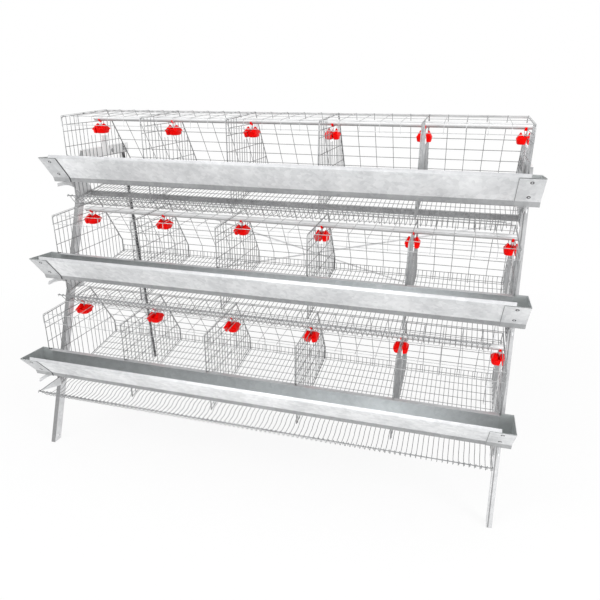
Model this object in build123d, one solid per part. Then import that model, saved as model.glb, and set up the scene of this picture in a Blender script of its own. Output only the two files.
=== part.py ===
from build123d import *
from math import cos, hypot, radians, tan
import os

# A three-tier cage for laying hens: five cells to a tier, each tier set back above the one below it on
# a leaning steel frame. Millimetres, +Z up, X along the cage, Y towards its back. Depths are measured
# from the front rim of the lower trough, and sections are drawn for the lower tier.

# Tiers and cells
cells = 5
cell_width = 390.0
tiers = ("lower", "middle", "upper")
tier_setback = 158.0
tier_rise = 410.0

# Side section of a cage: a sloping floor that rolls eggs into a tray in front, a roof, a slanted back
cage_front = 127.0
cage_depth = 526.0
roof_depth = 355.0
floor_back_height = 340.0
cage_height = 306.0
roof_fall = 12.0
back_wall_height = 56.0
corner_cut = 12.0
floor_slope = 8.1
tray_run = 65.0
lip_reach = 48.0
lip_rise = 57.0
upper_tray_cut = 45.0

# Welded wires, drawn square
mesh_wire = 2.5
edge_wire = 3.5
floor_wires_per_cell = 10
roof_wires_per_cell = 5
floor_cross_pitch = 95.0
floor_cross_inset = 10.0
roof_cross_wires = 4
back_cross_pitch = 75.0
back_skirt = 12.0
brow_drop = 44.0
hook_end = 4.0
partition_pitch = 58.0
partition_rail_height = 95.0

# Feed trough of bent sheet, with an end cap that sleeves each end
sheet = 1.2
trough_floor_height = 358.0
trough_front_height = 114.0
trough_back_height = 105.0
trough_floor_start = 86.0
trough_floor_width = 57.0
trough_back_lean = 6.0
trough_band_run = 6.0
trough_band_rise = 20.0
front_lip = 12.0
front_lip_rise = 18.0
back_lip = 22.0
trough_overhang = 49.0
cap_length = 90.0
cap_overlap = 40.0
rim_gap = 0.4

# Three-cornered plate at each end of the lower egg tray
stop_inset = 12.0
stop_depth = 141.0
stop_sheet = 1.5

# Drinking line: a pipe through every partition, with a nipple and a cup at each of them
pipe_setback = 281.0
pipe_drop = 33.0
pipe_radius = 12.5
pipe_wall = 2.5
pipe_overhang = 15.0
plug_radius = 14.0
plug_length = 5.0
seat_gap = 0.2
wire_gap = 0.5
saddle_width = 12.0
saddle_wall = 3.0
nipple_flats = 9.0
nipple_length = 20.0
nipple_sides = 6
pin_radius = 2.0
pin_fit = 0.1
pin_stem = 14.0
pin_showing = 8.0
pin_collar_radius = 3.2
pin_collar = 3.0
pin_stroke = 1.5
cup_width = 54.0
cup_depth = 60.0
cup_height = 30.0
cup_corner = 16.0
cup_draft = 8.0
cup_wall = 2.0
cup_drop = 26.5
cup_set_forward = 6.0
web_thickness = 3.0
web_set_forward = 1.0
web_peak_spread = 30.0
web_rise = 15.0

# End frames of folded steel: leaning front legs, back legs, a top arm and one arm under each tier
plate = 3.0
front_foot = 70.0
front_lean = 0.397
front_web = 43.0
front_flange = 21.0
frame_head = 117.0
foot_hole_radius = 6.0
foot_hole_height = 22.0
back_foot = 1036.0
back_lean = 0.099
back_web = 38.0
back_flange = 13.0
slot_width = 10.0
slot_height = 26.0
slot_pitch = 100.0
slot_start = 75.0
top_arm_depth = 43.0
top_arm_lead = 9.0
top_arm_tail = 38.0
top_arm_flange = 22.0
tab_setback = 153.0
tab_width = 51.0
tab_rise = 52.0
tab_lean = 9.0
tongue_tip = 40.0
tongue_depth = 15.0
tongue_chamfer = 4.0
tongue_straight = 35.0
arm_root_drop = 76.0
arm_neck_setback = 268.0
arm_neck_drop = 34.0
arm_heel = 28.0
arm_tail = 6.0
rail_setback = 278.0
rail_thickness = 6.0
rail_height = 23.0
brace_width = 7.0
brace_sheet = 2.0
brace_high_left = 1050.0
brace_low_right = 540.0
brace_low_left = 530.0
brace_high_right = 1000.0
bolt_flats = 13.0
bolt_head = 5.3
arm_bolt_drops = (35.0, 65.0)
back_bolt_spread = 8.0

# Places that follow from the sizes above
cage_half = cells * cell_width / 2
partition_xs = [i * cell_width - cage_half for i in range(cells + 1)]
frame_inner = cage_half + mesh_wire
frame_face = frame_inner + plate
cage_back = cage_front + cage_depth
roof_back = cage_front + roof_depth
roof_back_z = floor_back_height + cage_height
roof_front_z = roof_back_z - roof_fall
slant_foot_z = floor_back_height + back_wall_height
slope = tan(radians(floor_slope))
pipe_y = cage_front + pipe_setback
pipe_z = roof_back_z - pipe_drop
cup_y = pipe_y - cup_set_forward
cup_rim_z = pipe_z - pipe_radius - cup_drop
trough_floor_end = trough_floor_start + trough_floor_width
trough_back = trough_floor_end + trough_back_lean
trough_rim_z = trough_floor_height + trough_front_height
trough_back_z = trough_floor_height + trough_back_height
step_y = trough_back + sheet + rim_gap
step_z = trough_back_z + rim_gap
trough_half = cage_half + trough_overhang
frame_height = trough_floor_height + (len(tiers) - 1) * tier_rise + frame_head


def floor_z(y):
    return floor_back_height - (cage_back - y) * slope


def roof_z(y):
    return roof_back_z - (roof_back - y) * roof_fall / roof_depth


def slant_y(z):
    return roof_back + (roof_back_z - z) * (cage_back - roof_back) / (roof_back_z - slant_foot_z)


def slant_z(y):
    return roof_back_z - (y - roof_back) * (roof_back_z - slant_foot_z) / (cage_back - roof_back)


def unit(a, b):
    length = hypot(b[0] - a[0], b[1] - a[1])
    return (b[0] - a[0]) / length, (b[1] - a[1]) / length


def left(direction):
    return -direction[1], direction[0]


def along_line(a, b, distance):
    step = unit(a, b)
    return a[0] + step[0] * distance, a[1] + step[1] * distance


def offset_path(path, distance):
    """A path moved to its left, with mitred corners."""
    runs = [unit(a, b) for a, b in zip(path, path[1:])]
    moved = []
    for i, (y, z) in enumerate(path):
        before = left(runs[max(i - 1, 0)])
        after = left(runs[min(i, len(runs) - 1)])
        mitre = before[0] + after[0], before[1] + after[1]
        reach = 2 * distance / (mitre[0] ** 2 + mitre[1] ** 2)
        moved.append((y + mitre[0] * reach, z + mitre[1] * reach))
    return moved


def slab(outline, x, width):
    """A side outline in Y and Z, made solid from x over a width along X."""
    face = make_face(Plane.YZ * Polyline(*outline, close=True))
    return Pos(X=x) * extrude(face, width, dir=(1, 0, 0))


def ribbon(path, thickness):
    """The side outline of a wire or sheet bent along a path, with its thickness on the path's left."""
    return path + offset_path(path, thickness)[::-1]


def cross_wire(seat, direction, half_length):
    """A square wire along X, on a seat in the side section and to the left of a direction there."""
    y, z = seat
    a, b = direction[0] * mesh_wire / 2, direction[1] * mesh_wire / 2
    outline = ribbon([(y - a, z - b), (y + a, z + b)], mesh_wire)
    return slab(outline, -half_length, 2 * half_length)


def spread(solid, positions):
    return [Pos(X=x) * solid for x in positions]


def both_ends(solid):
    """A piece of the right end and its mirror image at the left end, as (left, right)."""
    return solid.mirror(Plane.YZ), solid


# Floor mesh: wires run down the slope and turn up into the lip of the egg tray, over wires along X. The
# wires beyond the tray's half length end at the cage's front.
floor_low = (cage_front - tray_run, floor_z(cage_front - tray_run))
floor_front = (cage_front, floor_z(cage_front))
floor_back = (cage_back, floor_back_height)
lip_tip = (floor_low[0] - lip_reach, floor_low[1] + lip_rise)
tray_half = cage_half - stop_inset


def floor_mesh(lip_half):
    pitch = cell_width / floor_wires_per_cell
    full = slab(ribbon([lip_tip, floor_low, floor_back], mesh_wire), -mesh_wire / 2, mesh_wire)
    short = slab(ribbon([floor_front, floor_back], mesh_wire), -mesh_wire / 2, mesh_wire)
    xs = [(i + 0.5) * pitch - cage_half for i in range(cells * floor_wires_per_cell)]
    wires = [Pos(X=x) * (full if abs(x) < lip_half else short) for x in xs]
    run = hypot(floor_back[0] - floor_front[0], floor_back[1] - floor_front[1]) - floor_cross_inset
    for i in range(int(run / floor_cross_pitch) + 1):
        seat = along_line(floor_back, floor_front, floor_cross_inset + i * floor_cross_pitch)
        wires.append(cross_wire(seat, unit(floor_back, floor_front), frame_inner))
    seat = along_line(lip_tip, floor_low, mesh_wire / 2)
    wires.append(cross_wire(seat, unit(floor_low, lip_tip), lip_half))
    return wires


# Roof mesh: wires from back to front lie on wires along X and turn down into a brow over each cell
def roof_mesh():
    corner = (cage_front, roof_front_z)
    ridge = (roof_back, roof_back_z)
    over = offset_path([corner, ridge], mesh_wire)
    front_y = cage_front - mesh_wire
    front_z = over[0][1] + roof_z(front_y) - roof_z(over[0][0])
    brow_z = roof_front_z - brow_drop
    path = [(front_y, brow_z - hook_end), (front_y, front_z), over[1]]
    pitch = cell_width / roof_wires_per_cell
    wire = slab(ribbon(path, mesh_wire), -mesh_wire / 2, mesh_wire)
    wires = spread(wire, [i * pitch - cage_half for i in range(cells * roof_wires_per_cell + 1)])
    first = corner_cut + mesh_wire
    step = (hypot(roof_depth, roof_fall) - mesh_wire - first) / (roof_cross_wires - 1)
    for i in range(roof_cross_wires):
        seat = along_line(corner, ridge, first + i * step)
        wires.append(cross_wire(seat, unit(corner, ridge), frame_inner))
    wires.append(cross_wire((cage_front, brow_z), (0, 1), frame_inner))
    return wires


# Back mesh: wires bent over the slanted back and its short upright foot, outside wires along X
def back_mesh():
    ridge = (roof_back, roof_back_z)
    bend = (cage_back, slant_foot_z)
    foot = (cage_back, floor_back_height - back_skirt)
    path = offset_path([ridge, bend, foot], mesh_wire)
    pitch = cell_width / roof_wires_per_cell
    wire = slab(ribbon(path, mesh_wire), -mesh_wire / 2, mesh_wire)
    wires = spread(wire, [i * pitch - cage_half for i in range(cells * roof_wires_per_cell + 1)])
    fall = hypot(bend[0] - ridge[0], bend[1] - ridge[1])
    for i in range(int((fall - 2 * mesh_wire) / back_cross_pitch) + 1):
        seat = along_line(ridge, bend, 2 * mesh_wire + i * back_cross_pitch)
        wires.append(cross_wire(seat, unit(ridge, bend), frame_inner))
    bottom = (cage_back, floor_back_height + mesh_wire / 2)
    wires.append(cross_wire(bottom, (0, -1), frame_inner))
    return wires


# Partition: a bent edge wire, a foot wire and rails in one layer, upright wires in a second layer beside
# it. The front edge hooks over the back rim of the trough. Two uprights flank the drinking cup.
def partition_uprights():
    clear = wire_gap + mesh_wire / 2
    ys = []
    y = min(cup_y - cup_depth / 2, pipe_y - pipe_radius) - clear
    while y > step_y + edge_wire + mesh_wire:
        ys.append(y)
        y -= partition_pitch
    y = max(cup_y + cup_depth / 2, pipe_y + pipe_radius) + clear
    while y < cage_back - edge_wire - mesh_wire:
        ys.append(y)
        y += partition_pitch
    return ys


def partition():
    nose = cage_front + corner_cut
    edge = [
        (step_y, floor_z(step_y + edge_wire)),
        (step_y, step_z),
        (cage_front, step_z),
        (cage_front, roof_front_z - corner_cut),
        (nose, roof_z(nose)),
        (roof_back, roof_back_z),
        (cage_back, slant_foot_z),
        (cage_back, floor_back_height),
    ]
    pieces = [slab(ribbon(edge, -edge_wire), -edge_wire, edge_wire)]
    foot = [(y, floor_z(y)) for y in (step_y + edge_wire, cage_back - edge_wire)]
    foot += [(y, z + edge_wire) for y, z in foot[::-1]]
    pieces.append(slab(foot, -edge_wire, edge_wire))
    steepness = unit((roof_back, roof_back_z), (cage_back, slant_foot_z))
    slant_inset = edge_wire / -steepness[1]
    pipe_rest = pipe_z - pipe_radius - seat_gap
    cup_rest = cup_rim_z - cup_wall
    for top, front in (
        (pipe_rest, cage_front),
        (cup_rest, cage_front),
        (floor_back_height + partition_rail_height, step_y),
    ):
        low, start = top - mesh_wire, front + edge_wire
        ends = [(slant_y(z) - slant_inset, z) for z in (low, top)]
        rail = [(start, low), *ends, (start, top)]
        pieces.append(slab(rail, -mesh_wire, mesh_wire))
    for y in partition_uprights():
        sides = y - mesh_wire / 2, y + mesh_wire / 2
        tops = [roof_z(s) if y < roof_back else slant_z(s) for s in sides]
        upright = [(s, floor_z(s)) for s in sides] + list(zip(sides, tops))[::-1]
        pieces.append(slab(upright, 0, mesh_wire))
    return pieces


def partitions():
    mirrored = [piece.mirror(Plane.YZ) for piece in partition()]
    plain = partition()
    return [Pos(X=x) * piece for x in partition_xs for piece in (plain if x > 0 else mirrored)]


# Feed trough: one bent sheet with folded rims, and a cap with an end wall over each end
trough_core = [
    (0, trough_rim_z),
    (trough_floor_start - trough_band_run, trough_floor_height + trough_band_rise),
    (trough_floor_start, trough_floor_height),
    (trough_floor_end, trough_floor_height),
    (trough_back, trough_back_z),
]


def trough():
    front_fold = (front_lip, trough_rim_z + front_lip_rise)
    rims = [front_fold, *trough_core, (trough_back - back_lip, trough_back_z)]
    half = trough_half - cap_length + cap_overlap
    return slab(ribbon(rims, sheet), -half, 2 * half)


def trough_cap():
    start = trough_half - cap_length
    sleeve = slab(ribbon(offset_path(trough_core, -sheet), sheet), start, cap_length)
    wall = slab(trough_core, trough_half - sheet, sheet)
    return sleeve + wall


def tray_stop():
    back = lip_tip[0] + stop_depth
    outline = [lip_tip, (back, floor_z(back)), (back, lip_tip[1])]
    return slab(outline, tray_half - stop_sheet, stop_sheet)


# Drinking line. A nipple hangs beside each partition, on the side of the cage's middle.
def toward_middle(x, distance):
    return x - distance if x > 0 else x + distance


def pipe():
    half = cage_half + pipe_overhang
    ring = Circle(pipe_radius) - Circle(pipe_radius - pipe_wall)
    return Pos(0, pipe_y, pipe_z) * extrude(Plane.YZ * ring, half, both=True)


def pipe_plug():
    head = extrude(Plane.YZ * RegularPolygon(plug_radius, 6), plug_length)
    return Pos(cage_half + pipe_overhang, pipe_y, pipe_z) * head


nipple_inset = mesh_wire + wire_gap + saddle_width / 2
saddle_floor = pipe_z - pipe_radius - seat_gap - saddle_wall
nipple_foot = saddle_floor - nipple_length
nipple_xs = [toward_middle(x, nipple_inset) for x in partition_xs]


def saddle():
    bore = pipe_radius + seat_gap
    side = bore + saddle_wall
    block = Pos(0, -side / 2) * Rectangle(2 * side, side)
    cheeks = chamfer(block.vertices().group_by(Axis.Y)[0], saddle_wall * 2)
    shape = Plane.YZ * (cheeks - RegularPolygon(bore, 12, major_radius=False))
    return Pos(0, pipe_y, pipe_z) * extrude(shape, saddle_width / 2, both=True)


# The valve pin hangs by its collar from a shoulder in the nipple, and a pecking hen lifts it
def nipple_body():
    body = extrude(RegularPolygon(nipple_flats / 2, nipple_sides, major_radius=False), nipple_length)
    shoulder = pin_stem - pin_showing
    chamber_height = pin_collar + pin_stroke + pin_fit
    mouth = extrude(RegularPolygon(pin_radius + pin_fit, nipple_sides), shoulder)
    chamber = extrude(RegularPolygon(pin_collar_radius + pin_fit, nipple_sides), chamber_height)
    return Pos(0, pipe_y, nipple_foot) * (body - mouth - Pos(Z=shoulder) * chamber)


def nipple_pin():
    stem = extrude(RegularPolygon(pin_radius, nipple_sides), pin_stem)
    collar = extrude(RegularPolygon(pin_collar_radius, nipple_sides), pin_collar)
    return Pos(0, pipe_y, nipple_foot - pin_showing) * (stem + Pos(Z=pin_stem) * collar)


# The cup is an oval dish under the nipple, slit where it hangs on a rail of the partition, with a
# notched web across its mouth. It is drawn for a partition at the right of the cage's middle.
def oval_dish(width, depth, height):
    """A dish with its rim at zero, cut off at its corners and narrowing downwards."""
    plan = chamfer(Rectangle(width, depth).vertices(), cup_corner)
    dish = extrude(plan, height, dir=(0, 0, -1))
    for plane, size in ((Plane.XZ, width), (Plane.YZ, depth)):
        foot = size / 2 - cup_draft
        flare = Polyline((-size / 2, 0), (-foot, -height), (foot, -height), (size / 2, 0), close=True)
        dish &= extrude(plane * make_face(flare), width + depth, both=True)
    return dish


def drip_cup():
    half = cup_width / 2
    slit = nipple_inset - mesh_wire / 2
    gap = mesh_wire + 2 * wire_gap
    gash = Pos(slit, 0, -cup_height - cup_wall) * Box(gap, 2 * cup_depth, 2 * cup_height)
    rib = Pos(X=slit) * Box(gap + 2 * cup_wall, 2 * cup_depth, 3 * cup_height)
    hollow = oval_dish(cup_width - 2 * cup_wall, cup_depth - 2 * cup_wall, cup_height - cup_wall) - rib
    peak = web_peak_spread / 2
    notched = [
        (cup_wall - half, -cup_wall), (cup_wall - half, 0), (-peak, web_rise), (0, 0),
        (peak, web_rise), (half - cup_wall, 0), (half - cup_wall, -cup_wall),
    ]
    web = extrude(Plane.XZ * make_face(Polyline(*notched, close=True)), web_thickness / 2, both=True)
    cup = oval_dish(cup_width, cup_depth, cup_height) - gash - hollow + Pos(Y=-web_set_forward) * web
    return Pos(-nipple_inset, cup_y, cup_rim_z) * cup


def drip_cups():
    mirrored, plain = both_ends(drip_cup())
    return [Pos(X=x) * (plain if x > 0 else mirrored) for x in partition_xs]


# End frames
def front_leg_y(z):
    return front_foot + front_lean * z


def back_leg_y(z):
    return back_foot - back_lean * z


def front_leg():
    def leaning(width):
        return [
            (front_leg_y(0), 0), (front_leg_y(0) + width, 0),
            (front_leg_y(frame_height) + width, frame_height), (front_leg_y(frame_height), frame_height),
        ]

    web = slab(leaning(front_web), frame_face, plate)
    flange = slab(leaning(plate), frame_face, front_flange)
    middle = front_leg_y(foot_hole_height) + front_web / 2
    hole = Plane.YZ * Pos(middle, foot_hole_height) * Circle(foot_hole_radius)
    return web + flange - Pos(X=frame_face) * extrude(hole, plate)


def back_leg():
    def leaning(start, width):
        return [
            (back_leg_y(0) + start, 0), (back_leg_y(0) + start + width, 0),
            (back_leg_y(frame_height) + start + width, frame_height),
            (back_leg_y(frame_height) + start, frame_height),
        ]

    leg = slab(leaning(-back_web / 2, back_web), frame_face, plate)
    for start in (-back_web / 2, back_web / 2 - plate):
        leg += slab(leaning(start, plate), frame_face, back_flange)
    slots = int((frame_height - top_arm_depth - slot_start) / slot_pitch) + 1
    for i in range(slots):
        z = slot_start + i * slot_pitch
        y = back_leg_y(z)
        slot = [
            (y - slot_width / 2, z - slot_height / 2), (y + slot_width / 2, z - slot_height / 2),
            (y + slot_width / 2, z + slot_height / 2), (y - slot_width / 2, z + slot_height / 2),
        ]
        leg -= slab(slot, frame_face, plate)
    return leg


def top_arm():
    low, high = frame_height - top_arm_depth, frame_height + plate
    front = front_leg_y(frame_height) - top_arm_lead
    back = back_leg_y(frame_height) + back_web / 2 + top_arm_tail
    web = [(front, low), (back, low), (back, high), (front, high)]
    cap = [(front, frame_height), (back, frame_height), (back, high), (front, high)]
    near, far = front + tab_setback, front + tab_setback + tab_width
    tab = [
        (near, frame_height), (far, frame_height),
        (far + tab_lean, high + tab_rise), (near + tab_lean, high + tab_rise),
    ]
    bar = slab(web, frame_inner, plate) + slab(cap, frame_inner, top_arm_flange)
    return bar + slab(tab, frame_inner, plate)


# An arm is a plate against the cage's end: a tongue under the trough cap, and a heel that holds the
# floor's wires and the end of the rail
rail_back = rail_setback + rail_thickness
rail_top = floor_z(rail_setback) - mesh_wire / cos(radians(floor_slope))
rail_low = rail_top - rail_height


def tier_arm():
    top = trough_floor_height - sheet
    blunt = tongue_tip + tongue_chamfer
    chin = top - tongue_depth
    bend = (tongue_tip + tongue_straight, chin)
    root_z = top - arm_root_drop
    root = (front_leg_y(root_z) + front_web / 2, root_z)
    tail = rail_back + arm_tail
    edges = [
        Polyline(
            bend, (blunt, chin), (tongue_tip, chin + tongue_chamfer), (tongue_tip, top - tongue_chamfer),
            (blunt, top), (trough_back, top), (arm_neck_setback, top - arm_neck_drop), (tail, floor_z(tail)),
            (tail, rail_low), (rail_setback - arm_heel, rail_low), root,
        ),
        TangentArc(bend, root, tangent=(1, 0)),
    ]
    face = make_face([Plane.YZ * edge for edge in edges])
    return Pos(X=frame_inner) * extrude(face, plate, dir=(1, 0, 0))


def spreader_rail():
    depths = rail_setback, rail_back
    outline = [(y, rail_low) for y in depths] + [(y, rail_top) for y in depths[::-1]]
    return slab(outline, -frame_inner, 2 * frame_inner)


# Cross-braces: two flat bars from back leg to back leg, one lying on the other where they cross
def cross_brace(left_z, right_z, layer):
    leg_plane = Plane(origin=(0, back_foot, 0), x_dir=(1, 0, 0), z_dir=(0, -1, -back_lean))
    stretch = hypot(1, back_lean)
    outline = [
        (-frame_face, left_z * stretch - brace_width / 2),
        (frame_face, right_z * stretch - brace_width / 2),
        (frame_face, right_z * stretch + brace_width / 2),
        (-frame_face, left_z * stretch + brace_width / 2),
    ]
    bar = extrude(make_face(Polyline(*outline, close=True)), brace_sheet, dir=(0, 0, 1))
    return leg_plane * (Pos(Z=layer * brace_sheet) * bar)


def bolt(y, z):
    head = extrude(RegularPolygon(bolt_flats / 2, 6, major_radius=False), bolt_head)
    return Pos(frame_face + plate, y, z) * (Plane.YZ * head)


def frame_bolts():
    arm_top = trough_floor_height - sheet
    top_z = frame_height - top_arm_depth / 2
    heights = [k * tier_rise + arm_top - drop for k in range(len(tiers)) for drop in arm_bolt_drops]
    heads = [bolt(front_leg_y(z) + front_web / 2, z) for z in [*heights, top_z]]
    for side in (-1, 1):
        heads.append(bolt(back_leg_y(top_z) + side * back_bolt_spread, top_z))
    return [head for pair in map(both_ends, heads) for head in pair]


# The whole cage, as named pieces
pieces = {}
for name, make in (("front_leg", front_leg), ("back_leg", back_leg), ("top_arm", top_arm)):
    for side, solid in zip(("left", "right"), both_ends(make())):
        pieces[f"{name}_{side}"] = [solid]
pieces["cross_brace_falling"] = [cross_brace(brace_high_left, brace_low_right, 0)]
pieces["cross_brace_rising"] = [cross_brace(brace_low_left, brace_high_right, 1)]
pieces["frame_bolts"] = frame_bolts()
pieces["tray_stops"] = both_ends(tray_stop())

per_tier = {
    "trough": [trough()],
    "trough_caps": both_ends(trough_cap()),
    "roof_mesh": roof_mesh(),
    "back_mesh": back_mesh(),
    "partitions": partitions(),
    "water_pipe": [pipe()],
}
shared = {
    "pipe_plugs": both_ends(pipe_plug()),
    "nipple_saddles": spread(saddle(), nipple_xs),
    "nipple_bodies": spread(nipple_body(), nipple_xs),
    "drip_cups": drip_cups(),
}
for k, tier in enumerate(tiers):
    place = Pos(0, k * tier_setback, k * tier_rise)
    lip_half = tray_half if k == 0 else cage_half - upper_tray_cut
    for side, solid in zip(("left", "right"), both_ends(tier_arm())):
        pieces[f"tier_arm_{tier}_{side}"] = [place * solid]
    for name, solids in {**per_tier, "floor_mesh": floor_mesh(lip_half)}.items():
        pieces[f"{name}_{tier}"] = [place * solid for solid in solids]
    for name, solids in shared.items():
        pieces.setdefault(name, []).extend(place * solid for solid in solids)
    for n, pin in enumerate(spread(nipple_pin(), nipple_xs), 1):
        pieces[f"nipple_pin_{tier}_{n}"] = [place * pin]
pieces["spreader_rail"] = [place * spreader_rail()]

solids = {name: [s for shape in shapes for s in shape.solids()] for name, shapes in pieces.items()}
footprint = Compound([s for group in solids.values() for s in group]).bounding_box()
to_middle = Pos(Y=-footprint.center().Y)
os.makedirs("parts", exist_ok=True)
for name, group in solids.items():
    export_step(to_middle * Compound(group), f"parts/{name}.step")
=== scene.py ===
from math import cos, hypot, pi, radians, sin, tan

import bmesh
import bpy
from mathutils import Matrix, Vector


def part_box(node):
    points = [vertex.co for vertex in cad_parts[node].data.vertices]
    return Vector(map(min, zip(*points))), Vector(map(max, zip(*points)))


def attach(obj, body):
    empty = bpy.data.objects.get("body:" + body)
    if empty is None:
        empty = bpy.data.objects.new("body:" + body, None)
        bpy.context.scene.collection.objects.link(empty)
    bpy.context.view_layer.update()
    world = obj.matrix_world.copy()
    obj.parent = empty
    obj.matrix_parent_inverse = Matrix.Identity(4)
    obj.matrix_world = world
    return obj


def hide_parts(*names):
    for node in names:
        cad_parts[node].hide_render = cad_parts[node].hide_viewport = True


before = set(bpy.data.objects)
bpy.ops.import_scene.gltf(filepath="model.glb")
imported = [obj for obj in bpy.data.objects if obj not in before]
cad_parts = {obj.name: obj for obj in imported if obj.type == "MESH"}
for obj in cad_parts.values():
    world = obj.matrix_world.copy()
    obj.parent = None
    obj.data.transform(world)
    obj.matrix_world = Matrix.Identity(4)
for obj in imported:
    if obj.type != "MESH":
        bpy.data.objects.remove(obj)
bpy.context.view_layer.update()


# Front legs: two leaning angle irons, folded from strip, hot-dip galvanised and bolted to the arms. Each
# stands on its cut end, with an anchor hole above the foot. Painted shade makes the front flange darker than
# the web, most on the left leg, with a painted shadow line beside the right leg's fold.
def put(tree, kind, sockets=None, **settings):
    """A node with its settings and sockets; a socket given as a value is linked."""
    made = tree.nodes.new(kind)
    for name, value in settings.items():
        setattr(made, name, value)
    for name, value in (sockets or {}).items():
        if isinstance(value, bpy.types.NodeSocket):
            tree.links.new(value, made.inputs[name])
        else:
            made.inputs[name].default_value = value
    return made


def maths(tree, operation, *values):
    """The result of one operation on numbers or sockets."""
    return put(tree, "ShaderNodeMath", dict(enumerate(values)), operation=operation).outputs[0]


def ranged(tree, value, start, end, low, high):
    """A value carried from one range to another and held at its ends."""
    return put(tree, "ShaderNodeMapRange", {0: value, 1: start, 2: end, 3: low, 4: high}).outputs[0]


def sensed(tree, kind, axis):
    """One axis of a point's Object coordinates or of its Normal."""
    vector = put(tree, "ShaderNodeTexCoord").outputs[kind]
    return put(tree, "ShaderNodeSeparateXYZ", {0: vector}).outputs[axis]


def new_material(name, metallic):
    """A material, its tree, its shader and Object coordinates."""
    material = bpy.data.materials.new(name)
    material.use_nodes = True
    tree = material.node_tree
    shader = tree.nodes["Principled BSDF"]
    shader.inputs["Metallic"].default_value = metallic
    coords = put(tree, "ShaderNodeTexCoord").outputs["Object"]
    return material, tree, shader, coords


def surfaced(tree, shader, tone, colours, places, roughness, height, strength, depth):
    """The shader's colour between two by a tone, its roughness, and its bump from a height."""
    ramp = put(tree, "ShaderNodeValToRGB", {"Fac": tone})
    for element, colour, place in zip(ramp.color_ramp.elements, colours, places):
        element.color = (*colour, 1)
        element.position = place
    bump = put(tree, "ShaderNodeBump", {"Height": height, "Strength": strength, "Distance": depth})
    tree.links.new(ramp.outputs["Color"], shader.inputs["Base Color"])
    tree.links.new(roughness, shader.inputs["Roughness"])
    tree.links.new(bump.outputs[0], shader.inputs["Normal"])


def zinc(name, dark, light, spangle=0.014, rough=(0.3, 0.5), metallic=0.8, grain=0.0003):
    """Galvanised steel: crystal spangles, cloudy patches and fine grain, between two greys."""
    material, tree, shader, coords = new_material(name, metallic)
    crystal = put(tree, "ShaderNodeTexVoronoi", {"Vector": coords, "Scale": 1 / spangle}).outputs["Color"]
    shade = put(tree, "ShaderNodeSeparateColor", {"Color": crystal}).outputs[0]
    cloud = put(tree, "ShaderNodeTexNoise", {
        "Vector": coords, "Scale": 7.0, "Detail": 6.0, "Roughness": 0.65,
    }).outputs["Fac"]
    fine = put(tree, "ShaderNodeTexNoise", {"Vector": coords, "Scale": 420.0, "Detail": 3.0}).outputs["Fac"]
    patch = ranged(tree, cloud, 0.3, 0.7, 0.0, 0.55)
    tone = maths(tree, "ADD", patch, maths(tree, "MULTIPLY", shade, 0.28))
    tone = maths(tree, "ADD", tone, maths(tree, "MULTIPLY", fine, 0.18))
    roughness = ranged(tree, tone, 0.0, 1.0, rough[1], rough[0])
    surfaced(tree, shader, tone, (dark, light), (0.0, 1.0), roughness, tone, 0.35, grain)
    return material


def tinted(material, factor):
    """The material's colour, multiplied by a factor."""
    tree = material.node_tree
    colour = tree.nodes["Principled BSDF"].inputs["Base Color"]
    scaled = put(tree, "ShaderNodeVectorMath", {
        0: colour.links[0].from_socket, "Scale": factor,
    }, operation="SCALE")
    tree.links.new(scaled.outputs[0], colour)


def dress(material, *nodes):
    """A CAD node keeps its shape and takes this finish."""
    for name in nodes:
        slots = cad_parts[name].data.materials
        slots.clear()
        slots.append(material)


leg_zinc = zinc("leg_zinc", (0.56, 0.565, 0.575), (0.84, 0.845, 0.855), spangle=0.011, metallic=0.5)
leg_tree = leg_zinc.node_tree
leg_x = sensed(leg_tree, "Object", "X")
# painted shade: front-facing faces darkened, more on the left leg than the right, with a painted shadow line
# beside the right leg's fold
flange = maths(leg_tree, "LESS_THAN", sensed(leg_tree, "Normal", "Y"), -0.5)
fold_shadow = maths(leg_tree, "COMPARE", leg_x, 0.9865, 0.0024)
flange_shade = maths(
    leg_tree, "MULTIPLY", ranged(leg_tree, leg_x, -0.98, 0.98, 0.34, 0.66),
    ranged(leg_tree, fold_shadow, 0.0, 1.0, 1.0, 0.45),
)
tinted(leg_zinc, ranged(leg_tree, flange, 0.0, 1.0, 1.0, flange_shade))
dress(leg_zinc, "front_leg_left", "front_leg_right")


# Back legs: cold-rolled steel channel that leans forward and is bolted to the top arm. The web's middle is a
# near-black strip of painted shade with a close row of small square holes; folded edges and flanges are pale
# zinc.
front_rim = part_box("trough_lower")[0].y
frame_face, plate_sheet, frame_height = 980.5, 3.0, 1295.0
back_foot, back_lean, back_web, back_flange = 1036.0, 0.099, 38.0, 13.0
dark_strip = (-8.0, 17.0)
hole_pitch, hole_count, hole_size = 18.5, 70, (7.0, 7.5)


def at(x, y, z):
    """A point in millimetres from the cage's middle, the lower trough's front rim and the ground."""
    return Vector((x / 1000, front_rim + y / 1000, z / 1000))


def closed(body, finish, angle=40.0):
    """A mesh from a bmesh, with faces outwards, one finish and smooth shading inside an angle."""
    bmesh.ops.remove_doubles(body, verts=body.verts, dist=1e-6)
    bmesh.ops.recalc_face_normals(body, faces=body.faces)
    mesh = bpy.data.meshes.new("made")
    body.to_mesh(mesh)
    body.free()
    mesh.materials.append(finish)
    mesh.shade_smooth()
    mesh.set_sharp_from_angle(angle=radians(angle))
    return mesh


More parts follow.
